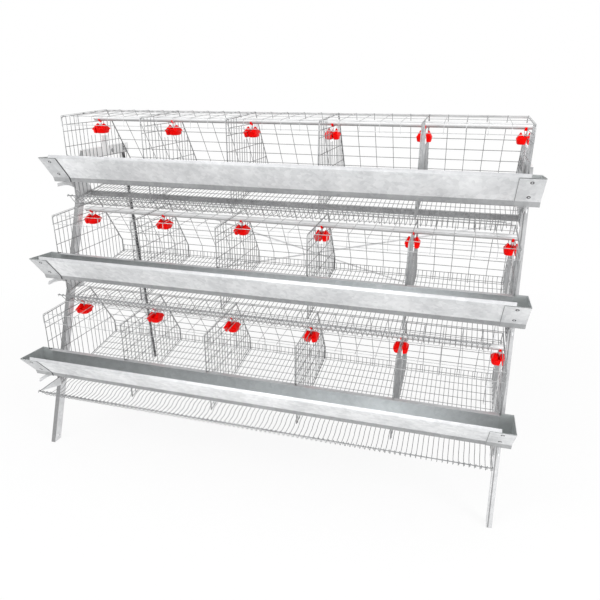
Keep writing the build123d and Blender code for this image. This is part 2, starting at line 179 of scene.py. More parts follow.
def leaning_bar(finish, xs, ys, zs, hole=None):
    """A bar that leans as the back legs do, with an optional hole through it along X: (width, height)."""
    body = bmesh.new()
    bmesh.ops.create_cube(body, size=1.0)
    middle = [(a + b) / 2 for a, b in (xs, ys, zs)]
    size = [b - a for a, b in (xs, ys, zs)]
    if hole:
        flat = [face for face in body.faces if abs(face.normal.x) > 0.9]
        bmesh.ops.inset_region(body, faces=flat, thickness=0.2)
        for face in flat:
            for vert in face.verts:
                vert.co.y = (0.5 if vert.co.y > 0 else -0.5) * hole[0] / size[1]
                vert.co.z = (0.5 if vert.co.z > 0 else -0.5) * hole[1] / size[2]
        bmesh.ops.bridge_loops(body, edges=[edge for face in flat for edge in face.edges])
        bmesh.ops.delete(body, geom=flat, context="FACES")
    for vert in body.verts:
        vert.co = Vector([m + c * s for m, c, s in zip(middle, vert.co, size)])
        vert.co.y -= back_lean * vert.co.z
        vert.co /= 1000
    return closed(body, finish)


def set_out_tree():
    """Geometry nodes: one shape set out at every place."""
    tree = bpy.data.node_groups.new("set out", "GeometryNodeTree")
    for name, kind in (("Places", "Geometry"), ("Shape", "Object"), ("Finish", "Material")):
        tree.interface.new_socket(name, in_out="INPUT", socket_type=f"NodeSocket{kind}")
    tree.interface.new_socket("Row", in_out="OUTPUT", socket_type="NodeSocketGeometry")
    given = put(tree, "NodeGroupInput").outputs
    shape = put(tree, "GeometryNodeObjectInfo", {"Object": given["Shape"]}).outputs["Geometry"]
    points = put(tree, "GeometryNodeMeshToPoints", {"Mesh": given["Places"]}).outputs[0]
    copies = put(tree, "GeometryNodeInstanceOnPoints", {"Points": points, "Instance": shape}).outputs[0]
    real = put(tree, "GeometryNodeRealizeInstances", {"Geometry": copies}).outputs[0]
    done = put(tree, "GeometryNodeSetMaterial", {"Geometry": real, "Material": given["Finish"]}).outputs[0]
    put(tree, "NodeGroupOutput", {0: done})
    return tree


def grown(tree, base, **inputs):
    """The plain mesh that a tree of geometry nodes makes from a base mesh."""
    holder = bpy.data.objects.new("holder", base)
    bpy.context.scene.collection.objects.link(holder)
    modifier = holder.modifiers.new("tree", "NODES")
    modifier.node_group = tree
    for item in tree.interface.items_tree:
        key = item.name.lower().replace(" ", "_")
        if item.in_out == "INPUT" and key in inputs:
            modifier[item.identifier] = inputs[key]
    graph = bpy.context.evaluated_depsgraph_get()
    mesh = bpy.data.meshes.new_from_object(holder.evaluated_get(graph))
    bpy.data.objects.remove(holder)
    return mesh


set_out_nodes = set_out_tree()


def set_out(shape, places):
    """A shape's copies at a list of places."""
    spots = bpy.data.meshes.new("places")
    spots.from_pydata(places, [], [])
    pattern = bpy.data.objects.new("pattern", shape)
    bpy.context.scene.collection.objects.link(pattern)
    row = grown(set_out_nodes, spots, shape=pattern, finish=shape.materials[0])
    bpy.data.objects.remove(pattern)
    return row


def mirrored(mesh):
    """The same piece for the other end of the cage."""
    other = mesh.copy()
    other.transform(Matrix.Scale(-1, 4, (1, 0, 0)))
    other.flip_normals()
    return other


def whole(name, *meshes):
    """One object from several meshes, with their materials."""
    body, slots = bmesh.new(), []
    for mesh in meshes:
        first = len(body.faces)
        body.from_mesh(mesh)
        body.faces.ensure_lookup_table()
        for face in body.faces[first:]:
            material = mesh.materials[face.material_index]
            if material not in slots:
                slots.append(material)
            face.material_index = slots.index(material)
    mesh = bpy.data.meshes.new(name)
    body.to_mesh(mesh)
    body.free()
    for material in slots:
        mesh.materials.append(material)
    made = bpy.data.objects.new(name, mesh)
    bpy.context.scene.collection.objects.link(made)
    return made


def fixed(made, slot, *nodes):
    """A piece of the standing cage, in place of its CAD nodes."""
    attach(made, "cage")
    if nodes:
        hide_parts(*nodes)


web_zinc = zinc(
    "web_zinc", (0.72, 0.725, 0.73), (0.92, 0.925, 0.93), spangle=0.008, rough=(0.4, 0.6), metallic=0.35,
)
# painted shade: near-black steel for the strip down the back legs' web
dull_steel = zinc(
    "dull_steel", (0.015, 0.016, 0.018), (0.08, 0.083, 0.087), spangle=0.006, rough=(0.5, 0.75), metallic=0.5,
)
outer_face, web_edge = frame_face + plate_sheet, back_web / 2
web_skin, flange_reach = (frame_face, outer_face), (outer_face, frame_face + back_flange)
pierced = leaning_bar(dull_steel, web_skin, dark_strip, (0, hole_pitch), hole_size)
holes = [at(0, back_foot - back_lean * hole_pitch * i, hole_pitch * i) for i in range(hole_count)]
leg_parts = [set_out(pierced, holes)]
for xs, ys in (
    (web_skin, (-web_edge, dark_strip[0])), (web_skin, (dark_strip[1], web_edge)),
    (flange_reach, (-web_edge, plate_sheet - web_edge)), (flange_reach, (web_edge - plate_sheet, web_edge)),
):
    strip = leaning_bar(web_zinc, xs, ys, (0, frame_height))
    leg_parts.append(set_out(strip, [at(0, back_foot, 0)]))
fixed(whole("back_leg_channel_right", *leg_parts), "dark_steel", "back_leg_right")
fixed(whole("back_leg_channel_left", *[mirrored(part) for part in leg_parts]), "dark_steel", "back_leg_left")


# Spreader rail and cross-braces: a flat bar between the heels of the upper tier's arms, and two thin diagonal
# bars between the back legs that lie on each other where they cross. All are of rolled steel, with a dull,
# dark coat on the rail and pale zinc on the braces.
rail_zinc = zinc(
    "rail_zinc", (0.2, 0.203, 0.208), (0.4, 0.405, 0.41), spangle=0.008, rough=(0.45, 0.7), metallic=0.5,
)
brace_zinc = zinc(
    "brace_zinc", (0.66, 0.665, 0.67), (0.88, 0.885, 0.89), spangle=0.008, rough=(0.4, 0.6), metallic=0.3,
)
dress(rail_zinc, "spreader_rail")
dress(brace_zinc, "cross_brace_falling", "cross_brace_rising")


# Top arms and tier arms: galvanised plates bolted to the legs. Each tier arm has a tongue under the trough and
# a heel that holds the floor's wires, and each top arm a tab for the upper cage.
tiers = ("lower", "middle", "upper")
plate_zinc = zinc("plate_zinc", (0.62, 0.63, 0.64), (0.88, 0.885, 0.89), spangle=0.012, metallic=0.4)
arm_zinc = zinc(
    "arm_zinc", (0.8, 0.805, 0.81), (0.96, 0.96, 0.96), spangle=0.012, rough=(0.4, 0.55), metallic=0.2,
)
dress(arm_zinc, "top_arm_left", "top_arm_right")
dress(plate_zinc, *[f"tier_arm_{tier}_{side}" for tier in tiers for side in ("left", "right")])


# Frame bolts: zinc-plated hex bolts with washers through the arms and legs, and on the top arms the nuts and
# thread ends that show inside.
def turned(profile, finish, sides=16, angle=40.0):
    """A closed shape turned about Z from (radius, height) points in millimetres, both ends on the axis."""
    body, rings = bmesh.new(), []
    for radius, height in profile:
        turns = [2 * pi * i / sides for i in range(sides)] if radius else [0.0]
        rings.append([body.verts.new(Vector((radius * cos(t), radius * sin(t), height)) / 1000) for t in turns])
    for low, high in zip(rings, rings[1:]):
        for i in range(sides):
            j = (i + 1) % sides
            corners = low[i % len(low)], low[j % len(low)], high[j % len(high)], high[i % len(high)]
            body.faces.new(list(dict.fromkeys(corners)))
    return closed(body, finish, angle)


def aimed(mesh, direction):
    """A turned shape with its axis swung from Z to a direction."""
    mesh.transform(Vector((0, 0, 1)).rotation_difference(Vector(direction)).to_matrix().to_4x4())
    return mesh


bolt_zinc = zinc("bolt_zinc", (0.3, 0.305, 0.31), (0.58, 0.585, 0.59), spangle=0.003, rough=(0.3, 0.45))
front_foot, front_lean, front_web = 70.0, 0.397, 43.0
tier_rise, arm_top, arm_bolt_drops = 410.0, 356.8, (35.0, 65.0)
top_bolt_z, back_bolt_spread, arm_nut_y = frame_height - 21.5, 8.0, 815.0
washer = [(0, 0), (10, 0), (10, 1.1), (9.6, 1.5), (0, 1.5)]
hex_head = [(0, 1.5), (7.5, 1.5), (7.5, 4.6), (6.4, 5.3), (0, 5.3)]
hex_nut = [
    (0, 1.5), (7.2, 1.5), (7.5, 2.0), (7.5, 4.6), (6.4, 5.3), (3.9, 5.3), (3.9, 8.0), (3.2, 8.6), (0, 8.6),
]
bolt_heights = [k * tier_rise + arm_top - drop for k in range(3) for drop in arm_bolt_drops] + [top_bolt_z]
front_bolts = [(front_foot + front_lean * z + front_web / 2, z) for z in bolt_heights]
back_leg_top = back_foot - back_lean * top_bolt_z
back_bolts = [(back_leg_top + side * back_bolt_spread, top_bolt_z) for side in (-1, 1)]
nuts = [back_bolts[1], (arm_nut_y, top_bolt_z)]
bolts = []
for hexagon, face_x, spots, outward in (
    (hex_head, outer_face, front_bolts + back_bolts, 1), (hex_nut, frame_face - plate_sheet, nuts, -1),
):
    for profile, sides in ((washer, 20), (hexagon, 6)):
        shape = aimed(turned(profile, bolt_zinc, sides, 25.0), (outward, 0, 0))
        bolts.append(set_out(shape, [at(face_x, y, z) for y, z in spots]))
fixed(whole("hex_bolts", *bolts, *[mirrored(part) for part in bolts]), "zinc_bolts", "frame_bolts")


# Floors: galvanised welded wire that rests on the tier arms, with close wires down the slope over wider-spaced
# wires along the cage. The close wires turn up at the back, and in front they step down into the egg tray and
# hook over the rod of its lip. The upper trays are shorter, so wires beyond them end at the cage's front.
def wire_tree():
    """Geometry nodes: round wires along bent paths, repeated side by side along X."""
    tree = bpy.data.node_groups.new("welded wires", "GeometryNodeTree")
    tree.interface.new_socket("Paths", in_out="INPUT", socket_type="NodeSocketGeometry")
    for name, kind in (
        ("Wire Diameter", "Float"), ("Bend Radius", "Float"), ("Sides", "Int"),
        ("First", "Float"), ("Pitch", "Float"), ("Count", "Int"), ("Finish", "Material"),
    ):
        tree.interface.new_socket(name, in_out="INPUT", socket_type=f"NodeSocket{kind}")
    tree.interface.new_socket("Wires", in_out="OUTPUT", socket_type="NodeSocketGeometry")
    given = put(tree, "NodeGroupInput").outputs
    lines = put(tree, "GeometryNodeMeshToCurve", {"Mesh": given["Paths"]}).outputs[0]
    bent = put(tree, "GeometryNodeFilletCurve", {"Curve": lines, "Radius": given["Bend Radius"]})
    bent.mode = "POLY"
    bent.inputs["Count"].default_value = 7
    bent.inputs["Limit Radius"].default_value = True
    radius = maths(tree, "MULTIPLY", given["Wire Diameter"], 0.5)
    ring = put(tree, "GeometryNodeCurvePrimitiveCircle", {"Resolution": given["Sides"], "Radius": radius})
    wire = put(tree, "GeometryNodeCurveToMesh", {
        "Curve": bent.outputs[0], "Profile Curve": ring.outputs[0], "Fill Caps": True,
    }).outputs[0]
    smooth = put(tree, "GeometryNodeSetShadeSmooth", {"Geometry": wire}).outputs[0]
    start = put(tree, "ShaderNodeCombineXYZ", {0: given["First"]}).outputs[0]
    offset = put(tree, "ShaderNodeCombineXYZ", {0: given["Pitch"]}).outputs[0]
    row = put(tree, "GeometryNodeMeshLine", {
        "Count": given["Count"], "Start Location": start, "Offset": offset,
    }).outputs[0]
    copies = put(tree, "GeometryNodeInstanceOnPoints", {"Points": row, "Instance": smooth}).outputs[0]
    real = put(tree, "GeometryNodeRealizeInstances", {"Geometry": copies}).outputs[0]
    done = put(tree, "GeometryNodeSetMaterial", {"Geometry": real, "Material": given["Finish"]}).outputs[0]
    put(tree, "NodeGroupOutput", {0: done})
    return tree


def paths(*lines):
    """A mesh of edges only, one chain for each line of points."""
    points, edges = [], []
    for line in lines:
        edges += [(len(points) + i, len(points) + i + 1) for i in range(len(line) - 1)]
        points += line
    mesh = bpy.data.meshes.new("paths")
    mesh.from_pydata(points, edges, [])
    return mesh


wire_nodes = wire_tree()


def wire_row(finish, diameter, lines, bend=0.0, first=0.0, pitch=0.0, count=1, sides=7):
    """Wires along lines of points, copied along X. Sizes in millimetres."""
    return grown(
        wire_nodes, paths(*lines), wire_diameter=diameter / 1000, bend_radius=bend / 1000, sides=sides,
        first=first / 1000, pitch=pitch / 1000, count=count, finish=finish,
    )


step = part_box("trough_middle")[0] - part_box("trough_lower")[0]


def on_tier(k, name, node, slot, *meshes):
    """A piece drawn for the lower tier, set on a tier in place of its CAD node."""
    made = whole(f"{name}_{tiers[k]}", *meshes)
    made.data.transform(Matrix.Translation(k * step))
    fixed(made, slot, f"{node}_{tiers[k]}")


floor_zinc = zinc(
    "floor_zinc", (0.18, 0.184, 0.19), (0.4, 0.405, 0.41), spangle=0.02, rough=(0.35, 0.55), grain=0.0001,
)
rod_zinc = zinc(
    "rod_zinc", (0.16, 0.163, 0.168), (0.36, 0.365, 0.37), spangle=0.01, rough=(0.4, 0.6), grain=0.0001,
)
cage_half, cell_width = 975.0, 390.0
cage_front, cage_back, floor_back, back_top = 127.0, 653.0, 340.0, 372.0
floor_slope = tan(radians(8.1))
floor_wire, floor_pitch, floor_count = 2.4, 19.5, 100
under_wire, under_pitch, under_count, under_inset = 2.4, 52.0, 9, 6.0
lip_y, lip_z, lip_rod_wire, tray_bend = 14.0, 313.0, 4.2, 12.0
slope_start = 205.0
tray_line = [
    (58.0, 266.5), (92.0, 262.6), (112.0, 261.2), (136.0, 261.0), (148.0, 263.4), (160.0, 270.0),
    (172.0, 274.6),
]
tray_ends = (963.0, 912.0, 912.0)
wires_beyond_tray = (0, 3, 3)


def floor_z(y):
    return floor_back - (cage_back - y) * floor_slope


def lengthwise(y, z, half=cage_half + 2):
    """A straight line along the cage."""
    return [at(-half, y, z), at(half, y, z)]


rest = floor_wire / 2
back_end = [at(0, cage_back - rest, floor_back + rest), at(0, cage_back - rest, back_top)]
hook = [(lip_y - 6.0, lip_z - 7.0), (lip_y - 6.0, lip_z + 1.5), (lip_y + 1.5, lip_z + 2.0)]
tray_path = hook + tray_line + [(slope_start, floor_z(slope_start))]
lip_path = [at(0, y, z + rest) for y, z in tray_path] + back_end
flat_path = [at(0, cage_front, floor_z(cage_front) + rest)] + back_end
under_ys = [cage_back - under_inset - i * under_pitch for i in range(under_count)]
under_lines = [lengthwise(y, floor_z(y) - under_wire / 2) for y in under_ys]
floor_first = floor_pitch / 2 - cage_half
for k, (end, cut) in enumerate(zip(tray_ends, wires_beyond_tray)):
    rows = [(lip_path, cut, floor_count - 2 * cut)]
    if cut:
        rows += [(flat_path, 0, cut), (flat_path, floor_count - cut, cut)]
    floor_rows = [wire_row(
        floor_zinc, floor_wire, [path], bend=tray_bend, first=floor_first + skipped * floor_pitch,
        pitch=floor_pitch, count=count,
    ) for path, skipped, count in rows]
    floor_rows.append(wire_row(floor_zinc, under_wire, under_lines))
    floor_rows.append(wire_row(rod_zinc, lip_rod_wire, [lengthwise(lip_y - 2.0, lip_z - 0.6, end)], sides=10))
    on_tier(k, "floor_wires", "floor_mesh", "galvanised_wire", *floor_rows)


# Tray stops: three-cornered plates of galvanised sheet that close the ends of the lower egg tray, hung on a
# steel rod along their upper edge.
stop_back, stop_x, stop_rod_wire = 155.0, 962.2, 3.0
dress(plate_zinc, "tray_stops")
stop_line = [at(stop_x, lip_y, lip_z), at(stop_x, stop_back, lip_z)]
stop_rod = wire_row(rod_zinc, stop_rod_wire, [stop_line], sides=10)
fixed(whole("tray_stop_rods", stop_rod, mirrored(stop_rod)), "galvanised_sheet")


# Partitions: a heavier galvanised edge wire bent to the cage's outline and hooked over the trough's back rim,
# with rails and close uprights welded across it. Uprights stop under the roof in front, under the pipe behind
# and below the cup beside it. Painted light makes the zinc paler towards the right.
panel_zinc = zinc(
    "panel_zinc", (0.17, 0.173, 0.178), (0.4, 0.405, 0.41), spangle=0.02, rough=(0.35, 0.55), grain=0.0001,
)
panel_tree = panel_zinc.node_tree
# painted light: the partitions' zinc lightened towards the right of the cage
tinted(panel_zinc, ranged(panel_tree, sensed(panel_tree, "Object", "X"), 0.15, 0.585, 1.0, 1.3))
edge_wire, edge_bend, thin_wire, rail_gap = 3.6, 11.0, 2.8, 1.25
step_y, step_z = 150.6, 463.4
roof_back, roof_back_z, roof_front_z, slant_foot = 482.0, 646.0, 634.0, 396.0
roof_rise = (roof_back_z - roof_front_z) / (roof_back - cage_front)
pipe_y, pipe_z, pipe_radius = 408.0, 613.0, 12.5
cup_y, cup_rim_z, cup_depth, cup_height = 407.0, 574.0, 80.0, 30.0
rail_heights = (pipe_z - pipe_radius - 1.3, cup_rim_z - 3.2, 505.0, 434.0)
upright_pitch, uprights_ahead, uprights_behind = 29.0, 9, 8
roof_uprights_end, cup_uprights_start, below_cup_z = 250.0, 320.0, 540.0


def roof_z(y):
    return roof_front_z + (y - cage_front) * roof_rise


def slant_y(z):
    return roof_back + (roof_back_z - z) * (cage_back - roof_back) / (roof_back_z - slant_foot)


def slant_z(y):
    return roof_back_z - (y - roof_back) * (roof_back_z - slant_foot) / (cage_back - roof_back)


def upright_top(y):
    if y < roof_uprights_end:
        return roof_z(y)
    return min(below_cup_z if cup_uprights_start < y < cup_y else pipe_z - pipe_radius, slant_z(y))


def panel(side):
    """The wires of one partition: edge, rails and uprights. Side is 1 right of the cage's middle, else -1."""
    inner, rail_x, outer = -side * edge_wire / 2, -side * rail_gap, side * thin_wire / 2
    h = edge_wire / 2
    edge = [at(inner, y, z) for y, z in (
        (step_y + h, floor_z(step_y) + h), (step_y + h, step_z + h), (cage_front + h, step_z + h),
        (cage_front + h, roof_front_z - h), (roof_back - h * 0.4, roof_back_z - h),
        (cage_back - h, slant_foot - h * 0.4), (cage_back - h, floor_back + h),
    )]
    foot = [at(inner, y, floor_z(y) + h) for y in (step_y + h, cage_back - h)]
    rails = []
    for z in rail_heights:
        front = cage_front if z > step_z else step_y
        rails.append([at(rail_x, front + 3, z), at(rail_x, min(slant_y(z), cage_back) - 3, z)])
    beside_cup = cup_depth / 2 + 1.8
    ys = [cup_y - beside_cup - upright_pitch * i for i in range(uprights_ahead)]
    ys += [cup_y + beside_cup + upright_pitch * i for i in range(uprights_behind)]
    uprights = []
    for y in ys:
        bottom = floor_z(y) if y > step_y + 3 else step_z
        uprights.append([at(outer, y, bottom), at(outer, y, upright_top(y) - 1)])
    uprights.append([at(outer, cup_y, floor_z(cup_y)), at(outer, cup_y, cup_rim_z - cup_height - 3)])
    return edge, foot, rails, uprights


panel_rows = []
for side, first in ((-1, -cage_half), (1, cell_width / 2)):
    edge, foot, rails, uprights = panel(side)
    spaced = {"first": first, "pitch": cell_width, "count": 3}
    panel_rows.append(wire_row(panel_zinc, edge_wire, [edge], bend=edge_bend, **spaced))
    panel_rows.append(wire_row(panel_zinc, edge_wire, [foot], **spaced))
    panel_rows.append(wire_row(panel_zinc, thin_wire, rails + uprights, **spaced))
for k in range(3):
    on_tier(k, "partition_wires", "partitions", "galvanised_wire", *panel_rows)


# Backs: the slanted rear mesh of galvanised welded wire, which lies on the outside of the partitions and is
# bent once to a short upright foot behind the floor.
wire_zinc = zinc(
    "wire_zinc", (0.17, 0.173, 0.178), (0.4, 0.405, 0.41), spangle=0.02, rough=(0.35, 0.55), grain=0.0001,
)
back_wire, across_wire, back_bend = 2.6, 2.8, 14.0
mesh_pitch, mesh_count = 78.0, 26
across_first, across_pitch, across_count = 5.0, 58.0, 6


def slant(distance, lift):
    """A point down the slanted back from the ridge, lifted outwards."""
    run, fall = cage_back - roof_back, roof_back_z - slant_foot
    length = hypot(run, fall)
    y, z = roof_back + run * distance / length, roof_back_z - fall * distance / length
    return y + fall * lift / length, z + run * lift / length


lift = back_wire * 1.5
verticals = [
    at(0, *slant(0, lift)), at(0, cage_back + lift, slant_foot + lift * 0.35),
    at(0, cage_back + lift, floor_back - 12),
]
across = [lengthwise(*slant(across_first + i * across_pitch, back_wire / 2)) for i in range(across_count)]
across += [lengthwise(cage_back + back_wire / 2, z) for z in (back_top - 2.0, floor_back + 4.0)]
back_rows = [
    wire_row(wire_zinc, back_wire, [verticals], back_bend, -cage_half, mesh_pitch, mesh_count),
    wire_row(wire_zinc, across_wire, across),
]
for k in range(3):
    on_tier(k, "back_wires", "back_mesh", "galvanised_wire", *back_rows)


# Roofs: a wide mesh of pale galvanised wire that lies on the partitions. Four wires run along the cage, and
# the wires over them turn down in front to a brow wire above the trough.
roof_zinc = zinc(
    "roof_zinc", (0.36, 0.365, 0.37), (0.64, 0.645, 0.65), spangle=0.02, rough=(0.35, 0.55), grain=0.0001,
)
roof_wire, along_wire, roof_bend = 2.1, 2.4, 6.0
roof_ys, brow_drop = (141.5, 290.0, 385.0, 479.0), 34.0
brow_z = roof_front_z - brow_drop
over = roof_wire * 1.5
hooks = [
    at(0, cage_front - roof_wire / 2, brow_z - 4), at(0, cage_front - roof_wire / 2, roof_front_z + over),
    at(0, roof_back, roof_back_z + over),
]
along = [lengthwise(y, roof_z(y) + roof_wire / 2) for y in roof_ys]
along.append(lengthwise(cage_front + roof_wire / 2, brow_z))
roof_rows = [
    wire_row(roof_zinc, roof_wire, [hooks], roof_bend, -cage_half, mesh_pitch, mesh_count),
    wire_row(roof_zinc, along_wire, along),
]
for k in range(3):
    on_tier(k, "roof_wires", "roof_mesh", "galvanised_wire", *roof_rows)


# Feed troughs: one long galvanised sheet folded to an open channel that lies on the arms' tongues, with a
# lip standing up in front and a narrow rim turned in at the back. Painted shade darkens the lip a little, and
# the band along the bottom fold and the inside more, as shade and dark reflection; painted light lifts the
# inside towards its middle-right, and it darkens again at its right end.
trough_face = zinc(
    "trough_face", (0.5, 0.51, 0.52), (0.93, 0.935, 0.94), spangle=0.016, rough=(0.28, 0.45), metallic=0.4,
)
# painted shade: the lip takes a darker copy of the sheet's zinc, to tone down the light on it
trough_lip = zinc(
    "trough_lip", (0.38, 0.385, 0.395), (0.6, 0.605, 0.615), spangle=0.016, rough=(0.3, 0.45), metallic=0.4,
)
# painted shade: darker zinc for the band along the bottom fold, standing in for shade and dark reflections
trough_band = zinc(
    "trough_band", (0.24, 0.245, 0.25), (0.42, 0.425, 0.43), spangle=0.016, rough=(0.4, 0.6), metallic=0.5,
)
# painted shade: the inside's darker grey stands in for shade and dark reflections
trough_inside = zinc("trough_inside", (0.45, 0.465, 0.47), (0.62, 0.635, 0.64), spangle=0.016, rough=(0.4, 0.6))
inside_tree = trough_inside.node_tree
inside_x = sensed(inside_tree, "Object", "X")
# painted light: the inside lightened towards the middle-right, and darker again at the right end
tinted(trough_inside, maths(
    inside_tree, "MULTIPLY", ranged(inside_tree, inside_x, -0.9, 0.55, 0.95, 1.58),
    ranged(inside_tree, inside_x, 0.6, 0.95, 1.0, 0.72),
))
sheet, fold_radius = 1.2, 2.0
trough_folds = [
    (4.0, 484.5), (0.0, 472.0), (80.0, 378.0), (86.0, 358.0), (143.0, 358.0), (149.0, 463.0), (127.0, 463.0),
]
trough_skins = [trough_lip, trough_face, trough_band, trough_band, trough_face, trough_lip]
trough_half, cap_length, cap_overlap = 1024.0, 90.0, 40.0


def rounded(folds, radius, cuts=3):
    """A fold line with each corner turned on a small radius, as (point, fold that starts there)."""
    line = [(folds[0], 0)]
    for i, (before, corner, after) in enumerate(zip(folds, folds[1:], folds[2:])):
        a = Vector(before) - Vector(corner)
        b = Vector(after) - Vector(corner)
        reach = min(radius / tan(a.angle(b) / 2), a.length * 0.45, b.length * 0.45)
        start, end = Vector(corner) + a.normalized() * reach, Vector(corner) + b.normalized() * reach
        for n in range(cuts + 1):
            t = n / cuts
            bend = (1 - t) ** 2 * start + 2 * t * (1 - t) * Vector(corner) + t ** 2 * end
            line.append((tuple(bend), i if t < 0.5 else i + 1))
    return line + [(folds[-1], len(folds) - 1)]


def folded_sheet(line, xs, thickness, outer, inner):
    """A sheet bent along a line and run along X, with its thickness on the line's left. Outer is a finish for
    each fold of each run along X, inner one finish for the other side."""
    body, slots = bmesh.new(), [inner]
    points = [Vector(point) for point, _ in line]
    normals = []
    for i in range(len(points)):
        run = (points[min(i + 1, len(points) - 1)] - points[max(i - 1, 0)]).normalized()
        normals.append(Vector((-run.y, run.x)))
    out = [[body.verts.new(at(x, *p)) for p in points] for x in xs]
    inside = [[body.verts.new(at(x, *(p + n * thickness))) for p, n in zip(points, normals)] for x in xs]
    for i in range(len(xs) - 1):
        for j in range(len(points) - 1):
            skin = outer[i][line[j][1]]
            if skin not in slots:
                slots.append(skin)
            face = body.faces.new((out[i][j], out[i][j + 1], out[i + 1][j + 1], out[i + 1][j]))
            face.material_index = slots.index(skin)
            body.faces.new((inside[i][j], inside[i + 1][j], inside[i + 1][j + 1], inside[i][j + 1]))
        for j in (0, len(points) - 1):
            body.faces.new((out[i][j], inside[i][j], inside[i + 1][j], out[i + 1][j]))
    for i in (0, len(xs) - 1):
        for j in range(len(points) - 1):
            body.faces.new((out[i][j], inside[i][j], inside[i][j + 1], out[i][j + 1]))
    mesh = closed(body, slots[0], 20.0)
    for skin in slots[1:]:
        mesh.materials.append(skin)
    return mesh


channel_half, runs = trough_half - cap_length + cap_overlap, 12
stations = [channel_half * (2 * i / runs - 1) for i in range(runs + 1)]
trough_line = rounded(trough_folds, fold_radius)
channel = folded_sheet(trough_line, stations, sheet, [trough_skins] * runs, trough_inside)
for k in range(3):
    on_tier(k, "trough_sheet", "trough", "galvanised_sheet", channel)


# Trough caps: sheet sleeves pushed over each end of the trough with a flat end wall folded in, held by two
# blind rivets through the front face. The left caps are painted darker as shade, and painted shadow lines
# mark the seams where they end, the top of their faces and rings round the rivets. Their bottom band and
# inside are painted darker as shade, as on the trough.
cap_face = zinc(
    "cap_face", (0.46, 0.47, 0.48), (0.82, 0.825, 0.83), spangle=0.016, rough=(0.3, 0.48), metallic=0.4,
)
# painted shade: the left caps' face is a darker copy of the cap zinc
dull_face = zinc(
    "dull_face", (0.34, 0.35, 0.36), (0.66, 0.665, 0.67), spangle=0.016, rough=(0.3, 0.48), metallic=0.4,
)
# painted shade: darker zinc for the caps' bottom band and inside, as on the trough
cap_band = zinc(
    "cap_band", (0.28, 0.285, 0.29), (0.44, 0.445, 0.45), spangle=0.016, rough=(0.35, 0.5), metallic=0.5,
)
cap_inside = zinc("cap_inside", (0.46, 0.48, 0.48), (0.64, 0.66, 0.66), spangle=0.016, rough=(0.4, 0.6))
# painted shadow: near-black for the left seams, the strip under the caps' rims and the rings round the rivets
seam_grime = zinc(
    "seam_grime", (0.008, 0.008, 0.009), (0.045, 0.045, 0.05), spangle=0.004, rough=(0.6, 0.8), metallic=0.2,
)
# painted shadow: a fainter grey line along the right caps' seams
seam_line = zinc(
    "seam_line", (0.2, 0.205, 0.21), (0.42, 0.425, 0.43), spangle=0.004, rough=(0.5, 0.7), metallic=0.4,
)
rivet_steel = zinc("rivet_steel", (0.4, 0.405, 0.41), (0.62, 0.625, 0.63), spangle=0.002, rough=(0.25, 0.4))
rim_mark, cap_radius, seam_width, shadow_width = 3.0, 2.5, 3.0, 6.0
rivet_x, rivet_reaches = 980.0, (24.0, 100.0)
rivet_shadow_ring = [(0, 0), (7.0, 0), (6.8, 0.4), (0, 0.4)]
rivet_head = [(0, 0.4), (3.6, 0.4), (3.5, 1.0), (2.6, 1.8), (1.2, 2.2), (0, 2.3)]
core = trough_folds[1:-1]
face_run = (Vector(core[1]) - Vector(core[0])).normalized()
face_out = Vector((face_run.y, -face_run.x))


def slab(finish, near, far):
    """A closed solid between two outlines with the same count of points."""
    body = bmesh.new()
    near, far = [[body.verts.new(point) for point in outline] for outline in (near, far)]
    body.faces.new(near)
    body.faces.new(far[::-1])
    for i in range(len(near)):
        j = (i + 1) % len(near)
        body.faces.new((near[i], far[i], far[j], near[j]))
    return closed(body, finish)


def outset(line, distance):
    """A fold line moved to its right."""
    directions = [(Vector(b) - Vector(a)).normalized() for a, b in zip(line, line[1:])]
    moved = []
    for i, point in enumerate(line):
        first, second = directions[max(i - 1, 0)], directions[min(i, len(directions) - 1)]
        mitre = Vector((first.y, -first.x)) + Vector((second.y, -second.x))
        moved.append(tuple(Vector(point) + mitre * (2 * distance / mitre.length_squared)))
    return moved


cap_start = trough_half - cap_length
cap_folds = outset(core, sheet)
cap_folds.insert(1, tuple(Vector(cap_folds[0]) + face_run * rim_mark))
cap_line = rounded(cap_folds, cap_radius)


def end_cap(face, seam, width):
    """A right-hand sleeve and its end wall, with finishes for its face and the strip along its seam."""
    skins = [seam_grime, face, cap_band, cap_band, face]
    # painted shadow on the strip just under the cap's rim
    ends = [cap_start, cap_start + width, trough_half]
    sleeve = folded_sheet(cap_line, ends, sheet, [[seam] * 5, skins], cap_inside)
    wall = slab(cap_inside, *[[at(x, y, z) for y, z in core] for x in (trough_half - sheet, trough_half)])
    return [sleeve, wall]


rivet_spots = [Vector(core[0]) + face_run * reach + face_out * sheet for reach in rivet_reaches]
rivets = []
# painted shadow: a dark ring under each rivet head
for profile, metal in ((rivet_shadow_ring, seam_grime), (rivet_head, rivet_steel)):
    head = aimed(turned(profile, metal, 14), (0, face_out.x, face_out.y))
    rivets.append(set_out(head, [at(rivet_x, *spot) for spot in rivet_spots]))
right_cap = end_cap(cap_face, seam_line, seam_width) + rivets
left_cap = [mirrored(part) for part in end_cap(dull_face, seam_grime, shadow_width) + rivets]
for k in range(3):
    on_tier(k, "trough_end_caps", "trough_caps", "galvanised_sheet", *right_cap, *left_cap)


